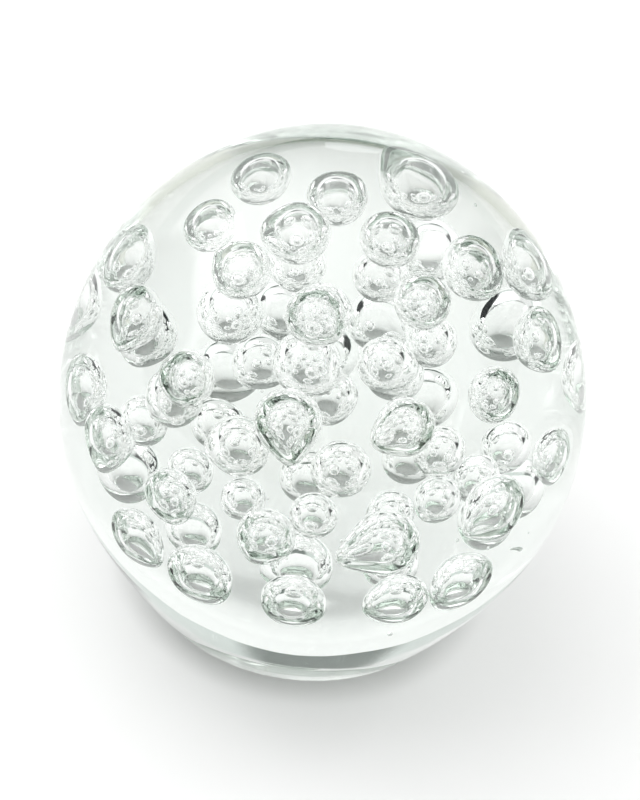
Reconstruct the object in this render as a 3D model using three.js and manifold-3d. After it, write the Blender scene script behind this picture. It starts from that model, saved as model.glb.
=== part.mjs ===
// A clear glass ball paperweight with controlled air bubbles, in millimetres, +Z up.
//
// The ball is built up on an iron in four dips of molten glass, called gathers. Each of the
// first three is pressed into a pin mould, which leaves rings of dimples, and the next gather
// traps one bubble of air over each dimple. Here every gather is its own solid, an upside-down
// cup around the one before it, and all four reach the ground base, where the iron was cracked
// off. A bubble is a pocket: its inner half is the dimple in one gather, and its outer half is
// the dome in the next.
//
// The origin is the centre of the base. Bearings turn about +Z: 0 faces -Y and 90 faces +X.

import * as THREE from "three";
import { mergeVertices } from "three/addons/utils/BufferGeometryUtils.js";
import Module from "manifold-3d";

// The ball.
const ballWidth = 80;
const ballHeight = 79.6;
const waistHeight = 36.2;
const footWidth = 50.4;

// The fullness of every outline, as shares: how far each curve's handles reach along the waist
// radius, the crown's rise, the waist's height and the widening from the stem to the waist.
const crownReach = 0.55;
const shoulderReach = 0.495;
const waistReach = 0.2;
const footReach = 0.59;
const footSpread = 0.995;

// The gathers, from the iron outwards. Each adds glass at the waist, at the crown and round
// the stem at the base, and the casing fills what is left out to the ball's outline.
//
// A ring of bubbles lies at one latitude, seen from the centre of the waist, and leans towards
// the front by some degrees, because the iron was never quite square to the mould. Each bubble
// has its bearing and how much larger its radius is than the gather's usual one.
const clearance = 0.3;
const coreGather = {
  waist: 10.8,
  crown: 11.2,
  stem: 5.5,
  bubbleRadius: 3.1,
  rings: [
    { latitude: 46, lean: 2, bubbles: [[-68, 0], [5, 0.1], [75, 0], [145, 0.1], [-140, -0.1]] },
    {
      latitude: -10,
      lean: 2,
      bubbles: [[-73, -0.3], [-2, 0.1], [62, -0.3], [122, 0], [-178, -0.1], [-125, 0]],
    },
  ],
};
const secondGather = {
  waist: 8.8,
  crown: 9,
  stem: 4.5,
  bubbleRadius: 3.5,
  rings: [
    { latitude: 76, lean: 0, bubbles: [[-111, -0.3], [-15, -0.4], [110, -0.4]] },
    {
      latitude: 51,
      lean: 4,
      bubbles: [[-74, 0.4], [-12, 0.6], [36, -0.1], [70, -0.4], [140, -0.2]],
    },
    {
      latitude: 14,
      lean: 4,
      bubbles: [[-98, 0.1], [-63, 0], [-29, 0.3], [10, 0.1], [49, -0.3], [124, 0.2]],
    },
    {
      latitude: -4,
      lean: 2,
      bubbles: [
        [-73, -0.6], [-45, -0.7], [-23, -0.8], [2, -0.6], [29, -0.7], [47, -0.7], [65, -0.7],
        [84, -0.6],
      ],
    },
    {
      latitude: -26,
      lean: 2,
      bubbles: [[-77, 0.1], [-40, -0.2], [-1, 0.5], [31, -0.3], [73, -0.4], [94, -0.3]],
    },
  ],
};
const thirdGather = {
  waist: 8.8,
  crown: 9,
  stem: 5,
  bubbleRadius: 4,
  rings: [
    { latitude: 79, lean: 0, bubbles: [[-80, 0.1], [89, -0.3], [-167, -0.4]] },
    {
      latitude: 62,
      lean: 2,
      bubbles: [[-135, -0.4], [-65, -0.1], [-10, -0.1], [56, -0.3], [148, 0.8]],
    },
    { latitude: 56, lean: 0, bubbles: [[-101, -0.5], [96, 0.2]] },
    {
      latitude: 29,
      lean: 6,
      bubbles: [[-104, 0.4], [-79, 0.1], [-47, -0.2], [-10, 0.5], [28, 0], [62, -0.3], [92, 0.1]],
    },
    { latitude: 34, lean: 0, bubbles: [[116, 0.5]] },
    {
      latitude: 1,
      lean: 0,
      bubbles: [
        [-110, 0.2], [-82, 0.1], [-64, 0.1], [-38, -0.3], [-10, -0.1], [21, 0.7], [54, 0.5],
        [79, -0.6], [107, 0],
      ],
    },
    { latitude: -20, lean: 0, bubbles: [[-48, -0.1], [-27, 0.4], [-1, 0.1], [27, 0], [46, 0.3]] },
  ],
};

// How finely the round surfaces are faceted.
const ballFacets = 32;
const gatherFacets = 16;
const ballSteps = 7;
const gatherSteps = 4;
const bubbleFacets = 8;
const bubbleBands = 4;

const degree = Math.PI / 180;
const wasm = await Module();
wasm.setup();

// A gather's outer outline, from the rim of its stem at the base, out to the waist and up to
// the crown.
function makeOutline(waistRadius, crownRise, stemRadius) {
  const crownHeight = waistHeight + crownRise;
  const spread = stemRadius + footSpread * (waistRadius - stemRadius);
  const lower = new THREE.CubicBezierCurve(
    new THREE.Vector2(stemRadius, 0),
    new THREE.Vector2(spread, footReach * waistHeight),
    new THREE.Vector2(waistRadius, (1 - waistReach) * waistHeight),
    new THREE.Vector2(waistRadius, waistHeight),
  );
  const upper = new THREE.CubicBezierCurve(
    new THREE.Vector2(waistRadius, waistHeight),
    new THREE.Vector2(waistRadius, waistHeight + shoulderReach * crownRise),
    new THREE.Vector2(crownReach * waistRadius, crownHeight),
    new THREE.Vector2(0, crownHeight),
  );
  return { waistRadius, crownRise, stemRadius, lower, upper };
}

function grow(outline, amount) {
  return makeOutline(
    outline.waistRadius + amount,
    outline.crownRise + amount,
    outline.stemRadius + amount,
  );
}

// The point of an outline that is seen at a latitude from the centre of its waist.
function outlinePoint(outline, latitude) {
  const curve = latitude < 0 ? outline.lower : outline.upper;
  let low = 0;
  let high = 1;
  for (let halving = 0; halving < 24; halving += 1) {
    const middle = (low + high) / 2;
    const point = curve.getPoint(middle);
    if (Math.atan2(point.y - waistHeight, point.x) < latitude) {
      low = middle;
    } else {
      high = middle;
    }
  }
  return curve.getPoint(low);
}

// A closed solid of an outline, turned about +Z, with a straight stem for any overrun below
// the base.
function turnOutline(outline, facets, steps, overrun) {
  const profile = [new THREE.Vector2(0, -overrun)];
  if (overrun > 0) {
    profile.push(new THREE.Vector2(outline.stemRadius, -overrun));
  }
  profile.push(...outline.lower.getPoints(steps));
  profile.push(...outline.upper.getPoints(steps).slice(1));
  const geometry = new THREE.LatheGeometry(profile, facets);
  geometry.rotateX(Math.PI / 2);
  return toSolid(geometry);
}

function toSolid(geometry) {
  geometry.deleteAttribute("normal");
  geometry.deleteAttribute("uv");
  const merged = mergeVertices(geometry, 1e-4);
  const triangles = [];
  for (let corner = 0; corner < merged.index.count; corner += 3) {
    const [a, b, c] = merged.index.array.slice(corner, corner + 3);
    if (a !== b && b !== c && c !== a) {
      triangles.push(a, b, c);
    }
  }
  return new wasm.Manifold(new wasm.Mesh({
    numProp: 3,
    vertProperties: new Float32Array(merged.attributes.position.array),
    triVerts: new Uint32Array(triangles),
  }));
}

function toGeometry(solid) {
  const mesh = solid.getMesh();
  const geometry = new THREE.BufferGeometry();
  geometry.setAttribute("position", new THREE.BufferAttribute(mesh.vertProperties, 3));
  geometry.setIndex(new THREE.BufferAttribute(mesh.triVerts, 1));
  geometry.computeVertexNormals();
  return geometry;
}

// The bubbles trapped on a gather's surface, centred in the gap to the next gather.
function bubblesOn(gather, outline) {
  const seat = grow(outline, clearance / 2);
  const bubbles = [];
  for (const ring of gather.rings) {
    for (const [bearing, swell] of ring.bubbles) {
      const turn = bearing * degree;
      const latitude = ring.latitude + ring.lean * Math.cos(turn);
      const place = outlinePoint(seat, latitude * degree);
      const radius = gather.bubbleRadius + swell;
      const bubble = new THREE.SphereGeometry(radius, bubbleFacets, bubbleBands);
      bubble.translate(place.x * Math.sin(turn), -place.x * Math.cos(turn), place.y);
      bubbles.push(toSolid(bubble));
    }
  }
  return bubbles;
}

function cutAll(solid, cutters) {
  return cutters.reduce((left, cutter) => left.subtract(cutter), solid);
}

// The outline after one more dip over the gather inside it.
function addGather(inner, gather) {
  return makeOutline(
    inner.waistRadius + gather.waist,
    inner.crownRise + gather.crown,
    inner.stemRadius + gather.stem,
  );
}

const coreOutline = makeOutline(coreGather.waist, coreGather.crown, coreGather.stem);
const secondOutline = addGather(coreOutline, secondGather);
const thirdOutline = addGather(secondOutline, thirdGather);
const ballOutline = makeOutline(ballWidth / 2, ballHeight - waistHeight, footWidth / 2);

const coreBubbles = bubblesOn(coreGather, coreOutline);
const secondBubbles = bubblesOn(secondGather, secondOutline);
const thirdBubbles = bubblesOn(thirdGather, thirdOutline);

function gatherSolid(outline) {
  return turnOutline(outline, gatherFacets, gatherSteps, 0);
}

// The room that a gather's neighbour leaves round it. It runs on past the base, so that it
// cuts cleanly through.
function cavityFor(outline) {
  const overrun = 2;
  return turnOutline(grow(outline, clearance), gatherFacets, gatherSteps, overrun);
}

const solids = {
  core_gather: cutAll(gatherSolid(coreOutline), coreBubbles),
  second_gather: cutAll(
    gatherSolid(secondOutline),
    [cavityFor(coreOutline), ...coreBubbles, ...secondBubbles],
  ),
  third_gather: cutAll(
    gatherSolid(thirdOutline),
    [cavityFor(secondOutline), ...secondBubbles, ...thirdBubbles],
  ),
  casing_gather: cutAll(
    turnOutline(ballOutline, ballFacets, ballSteps, 0),
    [cavityFor(thirdOutline), ...thirdBubbles],
  ),
};

// Clear glass with a faint green cast that deepens towards the thick casing.
const glassColours = {
  core_gather: 0xe8efe9,
  second_gather: 0xe6eee8,
  third_gather: 0xe3ece6,
  casing_gather: 0xe0eae4,
};

const paperweight = new THREE.Group();
for (const [name, solid] of Object.entries(solids)) {
  const material = new THREE.MeshStandardMaterial({
    color: glassColours[name],
    roughness: 0.03,
    metalness: 0,
    transparent: true,
    opacity: 0.35,
  });
  const mesh = new THREE.Mesh(toGeometry(solid), material);
  mesh.name = name;
  paperweight.add(mesh);
}

export default paperweight;
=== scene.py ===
# Clear glass ball paperweight, gathered in four dips, with rings of air bubbles trapped between
# them, standing on its ground base on a white studio floor. Metres, +Z up.
import math
import random

import bmesh
import bpy
from mathutils import Matrix, Quaternion, Vector
from mathutils.geometry import interpolate_bezier


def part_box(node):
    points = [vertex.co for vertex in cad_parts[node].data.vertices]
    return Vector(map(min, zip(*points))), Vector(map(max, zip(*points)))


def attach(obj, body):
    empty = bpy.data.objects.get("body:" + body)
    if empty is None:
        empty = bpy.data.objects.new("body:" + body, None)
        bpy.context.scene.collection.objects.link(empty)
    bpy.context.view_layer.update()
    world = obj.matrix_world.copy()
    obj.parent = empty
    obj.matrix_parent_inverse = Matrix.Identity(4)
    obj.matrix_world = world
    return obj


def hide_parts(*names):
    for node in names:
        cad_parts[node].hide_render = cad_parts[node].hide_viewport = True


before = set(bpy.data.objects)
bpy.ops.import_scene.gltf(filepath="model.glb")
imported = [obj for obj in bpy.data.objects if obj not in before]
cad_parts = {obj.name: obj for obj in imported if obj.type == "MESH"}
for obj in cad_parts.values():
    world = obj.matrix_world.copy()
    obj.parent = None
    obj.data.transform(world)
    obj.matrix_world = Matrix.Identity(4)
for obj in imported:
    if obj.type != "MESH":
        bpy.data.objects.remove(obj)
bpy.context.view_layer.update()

MM = 0.001
TINY = 0.001 * MM
random.seed(11)

# The ball, from the casing's box, and its own waist and foot.
ball_low, ball_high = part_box("casing_gather")
WAIST_RADIUS = (ball_high[0] - ball_low[0]) / 2
BALL_HEIGHT = ball_high[2] - ball_low[2]
WAIST_HEIGHT = 36.2 * MM
FOOT_RADIUS = 25.2 * MM
FOOT_BEVEL = 0.5 * MM

# The outline's fullness: how far its handles reach, as shares.
CROWN_REACH = 0.55
SHOULDER_REACH = 0.495
WAIST_REACH = 0.2
FOOT_REACH = 0.59
FOOT_SPREAD = 0.995

# The jacks' marks round the foot: between which heights they lie, and how deep they are.
MARKS_LOW = 0.6 * MM
MARKS_HIGH = 12 * MM
MARK_DEPTH = 0.17 * MM

# The three gathers that hold bubbles on their surface. Each ring of bubbles has its latitude
# from the waist and its lean towards the front, in degrees. Each bubble has its bearing from -Y
# towards +X, how many millimetres larger its radius is than the gather's usual one, and for a
# teardrop its pull and the pull's angle, as in add_bubble.
CORE_GATHER = {
    "waist": 10.8 * MM, "crown": 11.2 * MM, "stem": 5.5 * MM, "bubble": 3.1 * MM,
    "rings": [
        (46, 2, [(-68, 0), (5, 0.1), (75, 0), (145, 0.1), (-140, -0.1)]),
        (-10, 2, [(-73, -0.3), (-2, 0.1), (62, -0.3), (122, 0), (-178, -0.1), (-125, 0)]),
    ],
}
SECOND_GATHER = {
    "waist": 19.6 * MM, "crown": 20.2 * MM, "stem": 10 * MM, "bubble": 3.5 * MM,
    "rings": [
        (76, 0, [(-111, -0.3), (-15, -0.4), (110, -0.4)]),
        (51, 4, [(-74, 0.4), (-12, 0.6), (36, -0.1), (70, -0.4), (140, -0.2)]),
        (14, 4, [(-98, 0.1), (-63, 0), (-29, 0.3), (10, 0.1), (49, -0.3), (124, 0.2)]),
        (-4, 2, [
            (-73, -0.6), (-45, -0.7), (-23, -0.8), (2, -0.6), (29, -0.7), (47, -0.7),
            (65, -0.7), (84, -0.6),
        ]),
        (-26, 2, [(-77, 0.1), (-40, -0.2), (-1, 0.5), (31, -0.3), (73, -0.4), (94, -0.3)]),
    ],
}
THIRD_GATHER = {
    "waist": 28.4 * MM, "crown": 29.2 * MM, "stem": 15 * MM, "bubble": 4.0 * MM,
    "rings": [
        (79, 0, [(-80, 0.1), (89, -0.3), (-167, -0.4)]),
        (62, 2, [(-135, -0.4), (-65, -0.1), (-10, -0.1), (56, -0.3), (148, 0.8, 0.35, 1.2)]),
        (56, 0, [(-101, -0.5), (96, 0.2)]),
        (29, 6, [
            (-104, 0.4), (-79, 0.1), (-47, -0.2), (-10, 0.5, 0.3, 0.3), (28, 0, 0.28, -1.3),
            (62, -0.3), (92, 0.1),
        ]),
        (34, 0, [(116, 0.5)]),
        (1, 0, [
            (-110, 0.2), (-82, 0.1), (-64, 0.1, 0.28, 0.1), (-38, -0.3), (-10, -0.1),
            (21, 0.7, 0.42, -1.3), (54, 0.5, 0.25, -1.4), (79, -0.6), (107, 0),
        ]),
        (-20, 0, [(-48, -0.1), (-27, 0.4), (-1, 0.1), (27, 0), (46, 0.3)]),
    ],
}

# The most that a bubble is dipped, pulled and turned where its shape is left to chance.
MOST_DIP = 0.2
MOST_PULL = 0.22
MOST_PULL_TURN = 1.5

# Seeds and rim nicks: how many, and their radii in millimetres. A nick lies about this far round
# from the front, in radians, this far in from the foot's edge, in millimetres, and this high.
SEED_COUNT = 40
SEED_RADII = (0.1, 0.28)
NICK_COUNT = 26
NICK_RADII = (0.12, 0.3)
NICK_SPREAD = 0.7
NICK_INSETS = (0.7, 1.1)
NICK_HEIGHT = 0.6 * MM

# The studio seen from the ball: a white tent with a broad soft key light at the left, and the
# darker room that shows under the tent. The key has its level, bearing and elevation, and how
# many degrees from its middle it starts and ends to fade. A region has its level and tint, its
# lowest and highest elevation, and the bearing it is centred on with how many degrees it spreads
# to each side. A softbox has its level, the bearing and elevation of both ends of its crisp
# edge, and how many degrees wide it is while it fades from that edge.
WHITE = "#ffffff"
TENT = 0.95
KEY = (2.35, -108, 46, 12, 60)
REGIONS = [
    (0.8, "#fafffc", 24, 90, 0, 70),
    (0.8, "#fffff4", 6, 24, 0, 60),
    (0.42, "#f7ffee", -1, 6, 0, 80),
    (0.8, "#f6fffb", 0, 8, 180, 75),
    (0.14, "#e2fff2", 0, 10, -174, 11),
    (0.03, "#eef4ff", 1, 27, -99, 26),
    (0.03, "#eef4ff", 4, 42, 112, 28),
]
SOFTBOXES = [
    (4.8, (-131, 36), (-97, 52), 24),
    (3.6, (112, 57), (143, 35), 22),
]

# How softly a region ends: at its foot and its top, as heights of the unit direction, and at
# its sides, in degrees.
FOOT_BLUR = 0.005
TOP_BLUR = 0.03
SIDE_BLUR = 8

# Painted light, as no lamp lights it: how brightly the floor glows all round the foot, and in a
# painted bright patch behind it that the ball hides.
# Under the foot the floor does not glow, which paints shade there.
PAINTED_FLOOR_LIGHT = 0.2
PAINTED_SPOT_LIGHT = 0.07


def outline_curves(waist, crown, stem):
    """The lower and the upper Bezier curve of a gather's outline, as (radius, height) corners."""
    top = WAIST_HEIGHT + crown
    lower = [
        Vector((stem, 0)),
        Vector((stem + FOOT_SPREAD * (waist - stem), FOOT_REACH * WAIST_HEIGHT)),
        Vector((waist, (1 - WAIST_REACH) * WAIST_HEIGHT)),
        Vector((waist, WAIST_HEIGHT)),
    ]
    upper = [
        Vector((waist, WAIST_HEIGHT)),
        Vector((waist, WAIST_HEIGHT + SHOULDER_REACH * crown)),
        Vector((CROWN_REACH * waist, top)),
        Vector((0, top)),
    ]
    return lower, upper


def outline_place(curves, latitude):
    """The (radius, height) point of an outline at a latitude from the centre of its waist."""
    lower, upper = curves
    corners = lower if latitude < 0 else upper
    fineness = 400
    points = interpolate_bezier(*corners, fineness)
    return min(
        points,
        key=lambda p: abs(math.atan2(p.y - WAIST_HEIGHT, p.x) - math.radians(latitude)),
    )


def make_skin(bm):
    """The ball's outer surface: its outline spun about +Z, with a softened rim to the base."""
    lower, upper = outline_curves(WAIST_RADIUS, BALL_HEIGHT - WAIST_HEIGHT, FOOT_RADIUS)
    base_steps, lower_steps, upper_steps, turn_steps = 8, 56, 64, 200
    profile = [Vector((FOOT_RADIUS * step / base_steps, 0)) for step in range(base_steps)]
    profile += interpolate_bezier(*lower, lower_steps)
    profile += interpolate_bezier(*upper, upper_steps)[1:]
    corners = [bm.verts.new((p.x, 0, p.y)) for p in profile]
    edges = [bm.edges.new(pair) for pair in zip(corners, corners[1:])]
    bmesh.ops.spin(
        bm, geom=corners + edges, cent=(0, 0, 0), axis=(0, 0, 1),
        angle=math.tau, steps=turn_steps, use_merge=True,
    )
    bmesh.ops.remove_doubles(bm, verts=bm.verts, dist=TINY)
    bmesh.ops.recalc_face_normals(bm, faces=bm.faces)
    rim = [
        edge for edge in bm.edges
        if all(v.co.z < TINY for v in edge.verts)
        and all(math.hypot(v.co.x, v.co.y) > FOOT_RADIUS - 10 * TINY for v in edge.verts)
    ]
    bmesh.ops.bevel(
        bm, geom=rim, offset=FOOT_BEVEL, segments=4, profile=0.5, affect="EDGES", material=-1,
    )


def mark_foot(bm):
    """The jacks' marks round the foot: shallow rings about 2 mm apart that wander a little as
    they go round, deepest at the front left and a quarter as deep at the back."""
    for vert in bm.verts:
        if MARKS_LOW < vert.co.z < MARKS_HIGH:
            turn = math.atan2(vert.co.x, -vert.co.y)
            share = (vert.co.z - MARKS_LOW) / (MARKS_HIGH - MARKS_LOW)
            window = math.sin(math.pi * share) ** 2
            side = 0.25 + 0.75 * math.exp(-((turn + 0.75) / 0.5) ** 2)
            wander = 1.3 * math.sin(2 * turn) + 0.6 * math.sin(5 * turn)
            wave = math.sin(3.1 * vert.co.z / MM + wander)
            push = 1 + MARK_DEPTH * window * side * wave / math.hypot(vert.co.x, vert.co.y)
            vert.co.x *= push
            vert.co.y *= push


def join(bm, small):
    """Adds a small mesh to a large one, with its faces turned to look into the air inside it."""
    bmesh.ops.reverse_faces(small, faces=small.faces)
    mesh = bpy.data.meshes.new("joined")
    small.to_mesh(mesh)
    small.free()
    bm.from_mesh(mesh)
    bpy.data.meshes.remove(mesh)


def add_bubble(bm, centre, radius, dip, pull, pull_turn):
    """A trapped bubble's surface.

    The pin's dimple draws it inwards by the share dip, and the glass flowing round it draws it
    out to an egg by the share pull, along the gather at the angle pull_turn from straight down.
    """
    narrowing = 0.7
    settling = 0.35
    bubble = bmesh.new()
    bmesh.ops.create_uvsphere(bubble, u_segments=32, v_segments=18, radius=radius)
    way = Vector((math.sin(pull_turn), -math.cos(pull_turn), 0))
    for vert in bubble.verts:
        ahead = max(0.0, vert.co.dot(way) / radius)
        depth = max(0.0, -vert.co.z / radius)
        across = vert.co - way * vert.co.dot(way)
        vert.co -= across * pull * narrowing * ahead ** 2
        vert.co += way * radius * pull * ahead ** 3
        vert.co.z *= 1 + dip * depth - settling * dip
    outward = (centre - Vector((0, 0, WAIST_HEIGHT))).normalized()
    turn = outward.to_track_quat("Z", "Y").to_matrix().to_4x4()
    bmesh.ops.transform(bubble, verts=bubble.verts, matrix=Matrix.Translation(centre) @ turn)
    join(bm, bubble)


def add_gather_bubbles(bm, gather):
    """The rings of bubbles that the next gather traps on this one's surface."""
    curves = outline_curves(gather["waist"], gather["crown"], gather["stem"])
    for latitude, lean, bubbles in gather["rings"]:
        for bearing, swell, *shape in bubbles:
            turn = math.radians(bearing)
            place = outline_place(curves, latitude + lean * math.cos(turn))
            centre = Vector((place.x * math.sin(turn), -place.x * math.cos(turn), place.y))
            pull, pull_turn = shape or (
                random.uniform(0.0, MOST_PULL), random.uniform(-MOST_PULL_TURN, MOST_PULL_TURN),
            )
            dip = random.uniform(0.0, MOST_DIP)
            add_bubble(bm, centre, gather["bubble"] + swell * MM, dip, pull, pull_turn)


def add_speck(bm, place, radius, subdivisions):
    """A speck of air in the glass."""
    speck = bmesh.new()
    bmesh.ops.create_icosphere(
        speck, subdivisions=subdivisions, radius=radius, matrix=Matrix.Translation(place),
    )
    join(bm, speck)


def add_seeds(bm):
    """Tiny stray bubbles, called seeds, left all through hand-gathered glass."""
    outermost = 0.88 * WAIST_RADIUS
    for _ in range(SEED_COUNT):
        direction = Vector([random.gauss(0, 1) for _ in range(3)]).normalized()
        reach = outermost * random.random() ** 0.5
        place = Vector((0, 0, WAIST_HEIGHT)) + direction * reach
        add_speck(bm, place, random.uniform(*SEED_RADII) * MM, 2)


def add_rim_nicks(bm):
    """Specks of air left where the foot's rim was ground off, most of them at the front."""
    for _ in range(NICK_COUNT):
        turn = random.gauss(0, NICK_SPREAD)
        reach = FOOT_RADIUS - random.uniform(*NICK_INSETS) * MM
        place = Vector((reach * math.sin(turn), -reach * math.cos(turn), NICK_HEIGHT))
        add_speck(bm, place, random.uniform(*NICK_RADII) * MM, 1)


def srgb(code):
    """An sRGB hex value as a linear colour."""
    values = [int(code[i:i + 2], 16) / 255 for i in (1, 3, 5)]
    linear = [v / 12.92 if v <= 0.04045 else ((v + 0.055) / 1.055) ** 2.4 for v in values]
    return (*linear, 1.0)


def add_node(tree, kind, inputs=None, **settings):
    """Adds a node with its settings; an input is a value or another node's socket."""
    node = tree.nodes.new(kind)
    for name, value in settings.items():
        setattr(node, name, value)
    for name, value in (inputs or {}).items():
        if isinstance(value, bpy.types.NodeSocket):
            tree.links.new(value, node.inputs[name])
        else:
            node.inputs[name].default_value = value
    return node


def new_material(name):
    """A material with no nodes yet, and its node tree."""
    material = bpy.data.materials.new(name)
    material.use_nodes = True
    material.node_tree.nodes.clear()
    return material, material.node_tree


def polished_soda_glass():
    """Soda-lime glass, fire-polished: clear, with a trace of iron that shows green at depth, slow
    waves on its skin, and bubble walls that the mould and the soda left finely pitted.

    Real pits are finer than this; they are drawn as coarse as they have to be to show.
    """
    wave_length = 100 / 11 * MM
    wave_height = 0.03 * MM
    pit_spacing = 2 / 3 * MM
    pit_depth = 0.008 * MM
    ground_haze = 0.06
    haze_starts = 0.3 * MM
    haze_full = 0.1 * MM
    material, tree = new_material("polished_soda_glass")
    place = add_node(tree, "ShaderNodeTexCoord").outputs["Object"]
    wall = add_node(tree, "ShaderNodeAttribute", attribute_name="bubble_wall").outputs["Fac"]
    waves = add_node(
        tree, "ShaderNodeTexNoise", {"Vector": place, "Scale": 1 / wave_length, "Detail": 1.0},
    )
    pits = add_node(
        tree, "ShaderNodeTexNoise", {"Vector": place, "Scale": 1 / pit_spacing, "Detail": 2.0},
    )
    slow = add_node(
        tree, "ShaderNodeBump",
        {"Height": waves.outputs["Fac"], "Strength": 0.5, "Distance": wave_height},
    )
    fine = add_node(
        tree, "ShaderNodeBump",
        {
            "Height": pits.outputs["Fac"], "Strength": wall, "Distance": pit_depth,
            "Normal": slow.outputs["Normal"],
        },
    )
    height = add_node(tree, "ShaderNodeSeparateXYZ", {"Vector": place}).outputs["Z"]
    haze = add_node(
        tree, "ShaderNodeMapRange",
        {
            "Value": height, "From Min": haze_starts, "From Max": haze_full,
            "To Max": ground_haze,
        },
        interpolation_type="SMOOTHSTEP",
    )
    shader = add_node(
        tree, "ShaderNodeBsdfGlass",
        {"IOR": 1.52, "Roughness": haze.outputs["Result"], "Normal": fine.outputs["Normal"]},
    )
    depth = add_node(
        tree, "ShaderNodeVolumeAbsorption", {"Color": srgb("#e2e9e4"), "Density": 10.0},
    )
    add_node(
        tree, "ShaderNodeOutputMaterial",
        {"Surface": shader.outputs["BSDF"], "Volume": depth.outputs["Volume"]},
    )
    return material


def white_floor_painted_light():
    """Matt white acrylic with painted light: it glows a little, though no lamp lights it, but not
    under the foot, which paints shade there, and it glows most in a painted bright patch just
    behind the foot.
    """
    material, tree = new_material("white_floor_painted_light")
    place = add_node(tree, "ShaderNodeTexCoord").outputs["Object"]
    # Painted shade under the foot, where the floor does not glow, and a painted bright patch
    # behind the foot.
    painted_shade_centre = (0, 0, 0)
    painted_spot_centre = (0, 1.55 * FOOT_RADIUS, 0)
    glows = []
    for centre, dark, lit, level in (
        (painted_shade_centre, FOOT_RADIUS, FOOT_RADIUS + 6 * MM, PAINTED_FLOOR_LIGHT),
        (painted_spot_centre, 21 * MM, 9 * MM, PAINTED_SPOT_LIGHT),
    ):
        reach = add_node(
            tree, "ShaderNodeVectorMath", {0: place, 1: centre}, operation="DISTANCE",
        )
        glow = add_node(
            tree, "ShaderNodeMapRange",
            {
                "Value": reach.outputs["Value"], "From Min": dark, "From Max": lit,
                "To Max": level,
            },
            interpolation_type="SMOOTHSTEP",
        )
        glows.append(glow.outputs["Result"])
    painted_light_total = add_node(tree, "ShaderNodeMath", dict(enumerate(glows)), operation="ADD")
    # The emission is painted light: no lamp lights the floor.
    shader = add_node(
        tree, "ShaderNodeBsdfPrincipled",
        {
            "Base Color": srgb("#e0e0e0"), "Roughness": 0.9,
            "Emission Color": srgb(WHITE), "Emission Strength": painted_light_total.outputs["Value"],
        },
    )
    add_node(tree, "ShaderNodeOutputMaterial", {"Surface": shader.outputs["BSDF"]})
    return material


def link_piece(name, bm, material):
    """A smooth-shaded object of one material, in the scene."""
    mesh = bpy.data.meshes.new(name)
    bm.to_mesh(mesh)
    bm.free()
    for polygon in mesh.polygons:
        polygon.use_smooth = True
    mesh.materials.append(material)
    piece = bpy.data.objects.new(name, mesh)
    bpy.context.scene.collection.objects.link(piece)
    return piece


def make_glass_ball():
    """The whole ball as one mesh: its skin, and the wall of every pocket of air in it. The
    gathers are fused, so nothing is left of the surfaces between them."""
    bm = bmesh.new()
    make_skin(bm)
    mark_foot(bm)
    skin_count = len(bm.verts)
    for gather in (CORE_GATHER, SECOND_GATHER, THIRD_GATHER):
        add_gather_bubbles(bm, gather)
    add_seeds(bm)
    add_rim_nicks(bm)
    wall = bm.verts.layers.float.new("bubble_wall")
    bm.verts.ensure_lookup_table()
    for vert in bm.verts[skin_count:]:
        vert[wall] = 1.0
    piece = link_piece("glass_ball", bm, polished_soda_glass())
    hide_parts("casing_gather", "third_gather", "second_gather", "core_gather")
    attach(piece, "root")


def make_floor():
    """A white sweep, a hair below the base, so that the two never share a plane."""
    half_width = 3.0
    drop = 0.05 * MM
    bm = bmesh.new()
    bmesh.ops.create_grid(
        bm, x_segments=1, y_segments=1, size=half_width,
        matrix=Matrix.Translation((0, 0, -drop)),
    )
    # Its white glows as painted light, with painted shade under the foot.
    floor = link_piece("studio_floor", bm, white_floor_painted_light())


def make_camera():
    """A long lens at the front, looking down on the ball."""
    elevation = math.radians(42.5)
    roll = 0.127
    distance = 14 * WAIST_RADIUS
    camera = bpy.data.cameras.new("camera")
    camera.sensor_width = 36
    camera.sensor_fit = "AUTO"
    camera.lens = 165.879
    camera.shift_x = -0.00325
    camera.shift_y = -0.003375
    camera.clip_start = 0.01
    holder = bpy.data.objects.new("camera", camera)
    bpy.context.scene.collection.objects.link(holder)
    sight = Vector((0, -math.cos(elevation), math.sin(elevation)))
    holder.location = Vector((0, 0, WAIST_HEIGHT)) + sight * distance
    holder.rotation_mode = "QUATERNION"
    holder.rotation_quaternion = sight.to_track_quat("Z", "Y") @ Quaternion((0, 0, 1), roll)
    bpy.context.scene.camera = holder


def heading(bearing, elevation):
    """The unit direction at a bearing from -Y towards +X and an elevation, in degrees."""
    turn = math.radians(bearing)
    lift = math.radians(elevation)
    level = math.cos(lift)
    return Vector((math.sin(turn) * level, -math.cos(turn) * level, math.sin(lift)))


def along(tree, way, *axes):
    """How far the direction way runs along each axis."""
    return [
        add_node(
            tree, "ShaderNodeVectorMath", {0: way, 1: axis}, operation="DOT_PRODUCT",
        ).outputs["Value"]
        for axis in axes
    ]


def soft_mask(tree, steps):
    """Where every value is past its step, from 0 at the step's start to 1 at its end."""
    mask = 1.0
    for value, start, end in steps:
        step = add_node(
            tree, "ShaderNodeMapRange", {"Value": value, "From Min": start, "From Max": end},
            interpolation_type="SMOOTHSTEP",
        )
        mask = add_node(
            tree, "ShaderNodeMath", {0: mask, 1: step.outputs["Result"]}, operation="MULTIPLY",
        ).outputs["Value"]
    return mask


def key_mask(tree, way, bearing, elevation, inner, outer):
    """Where the key light is seen, brightest in its middle."""
    towards = along(tree, way, heading(bearing, elevation))[0]
    dark = math.cos(math.radians(outer))
    lit = math.cos(math.radians(inner))
    return soft_mask(tree, [(towards, dark, lit)])


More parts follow.
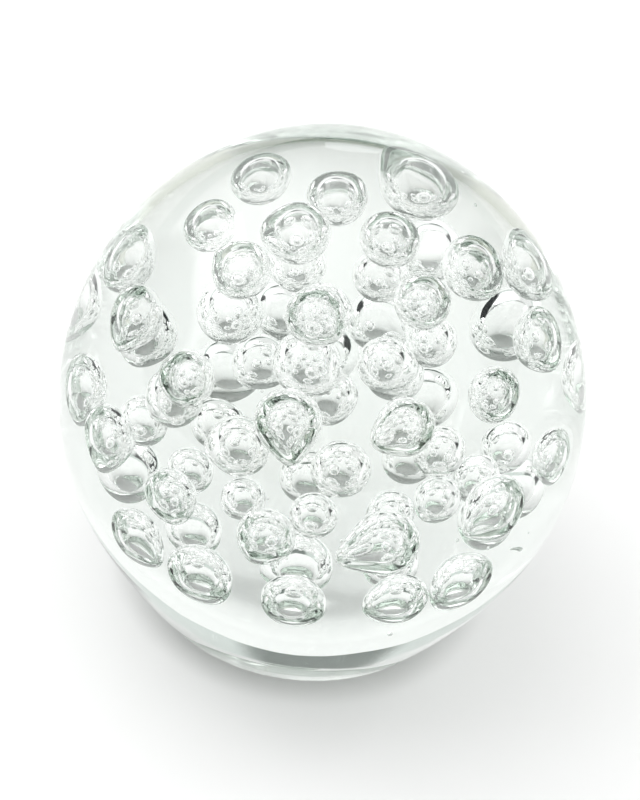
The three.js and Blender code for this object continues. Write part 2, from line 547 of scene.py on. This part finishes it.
def region_mask(tree, way, low, high, bearing, spread):
    """Where a region of the studio is seen, with soft edges."""
    height, turned = along(tree, way, (0, 0, 1), heading(bearing, 0))
    foot_line = math.sin(math.radians(low))
    outside = math.cos(math.radians(spread + SIDE_BLUR))
    inside = math.cos(math.radians(spread))
    steps = [
        (height, foot_line - FOOT_BLUR, foot_line + FOOT_BLUR),
        (turned, outside, inside),
    ]
    if high < 90:
        top_line = math.sin(math.radians(high))
        steps.append((height, top_line + TOP_BLUR, top_line - TOP_BLUR))
    return soft_mask(tree, steps)


def softbox_mask(tree, way, first, last, width):
    """Where a softbox is seen, on the left of its crisp edge on the way from first to last."""
    start = heading(*first)
    end = heading(*last)
    middle = (start + end).normalized()
    sideways = end.cross(start).normalized()
    onward = (end - start).normalized()
    ahead, *spans = along(tree, way, middle, sideways, onward)
    across, length = (
        add_node(tree, "ShaderNodeMath", {0: span, 1: ahead}, operation="DIVIDE").outputs["Value"]
        for span in spans
    )
    off_middle = add_node(tree, "ShaderNodeMath", {0: length}, operation="ABSOLUTE")
    reach = math.tan(start.angle(end) / 2)
    far = math.tan(math.radians(width))
    # On the box's side of the ball, past its crisp edge, not yet faded out, between its ends.
    return soft_mask(tree, [
        (ahead, 0.0, 0.05),
        (across, 0.0, 0.02),
        (across, far, 0.0),
        (off_middle.outputs["Value"], reach, reach * 0.9),
    ])


def tinted(level, code):
    """A tint at a level of brightness."""
    return (*(level * value for value in srgb(code)[:3]), 1.0)


def make_world():
    """A white tent over the sweep, open to the dark room low down, with two softboxes. Each
    light or region is laid over the ones before it."""
    world = bpy.data.worlds.new("studio")
    bpy.context.scene.world = world
    world.use_nodes = True
    tree = world.node_tree
    tree.nodes.clear()
    way = add_node(tree, "ShaderNodeTexCoord").outputs["Generated"]
    key_level, *key_place = KEY
    layers = [(key_level, WHITE, key_mask(tree, way, *key_place))]
    for level, tint, *place in REGIONS:
        layers.append((level, tint, region_mask(tree, way, *place)))
    for level, *place in SOFTBOXES:
        layers.append((level, WHITE, softbox_mask(tree, way, *place)))
    light = tinted(TENT, WHITE)
    # The Mix node's colour sockets by number, because its number sockets have the same names.
    under, over, result = 6, 7, 2
    for level, tint, mask in layers:
        mix = add_node(
            tree, "ShaderNodeMix", {"Factor": mask, under: light, over: tinted(level, tint)},
            data_type="RGBA",
        )
        light = mix.outputs[result]
    shade = add_node(tree, "ShaderNodeBackground", {"Color": light, "Strength": 1.0})
    add_node(tree, "ShaderNodeOutputWorld", {"Surface": shade.outputs["Background"]})


def set_render():
    """Plain tones, and enough bounces for light to pass through many bubbles."""
    scene = bpy.context.scene
    scene.view_settings.view_transform = "Standard"
    scene.cycles.max_bounces = 32
    scene.cycles.transmission_bounces = 32
    scene.cycles.glossy_bounces = 16
    scene.cycles.diffuse_bounces = 4
    scene.cycles.transparent_max_bounces = 16
    scene.cycles.use_denoising = True


make_camera()
make_glass_ball()
make_floor()
make_world()
set_render()
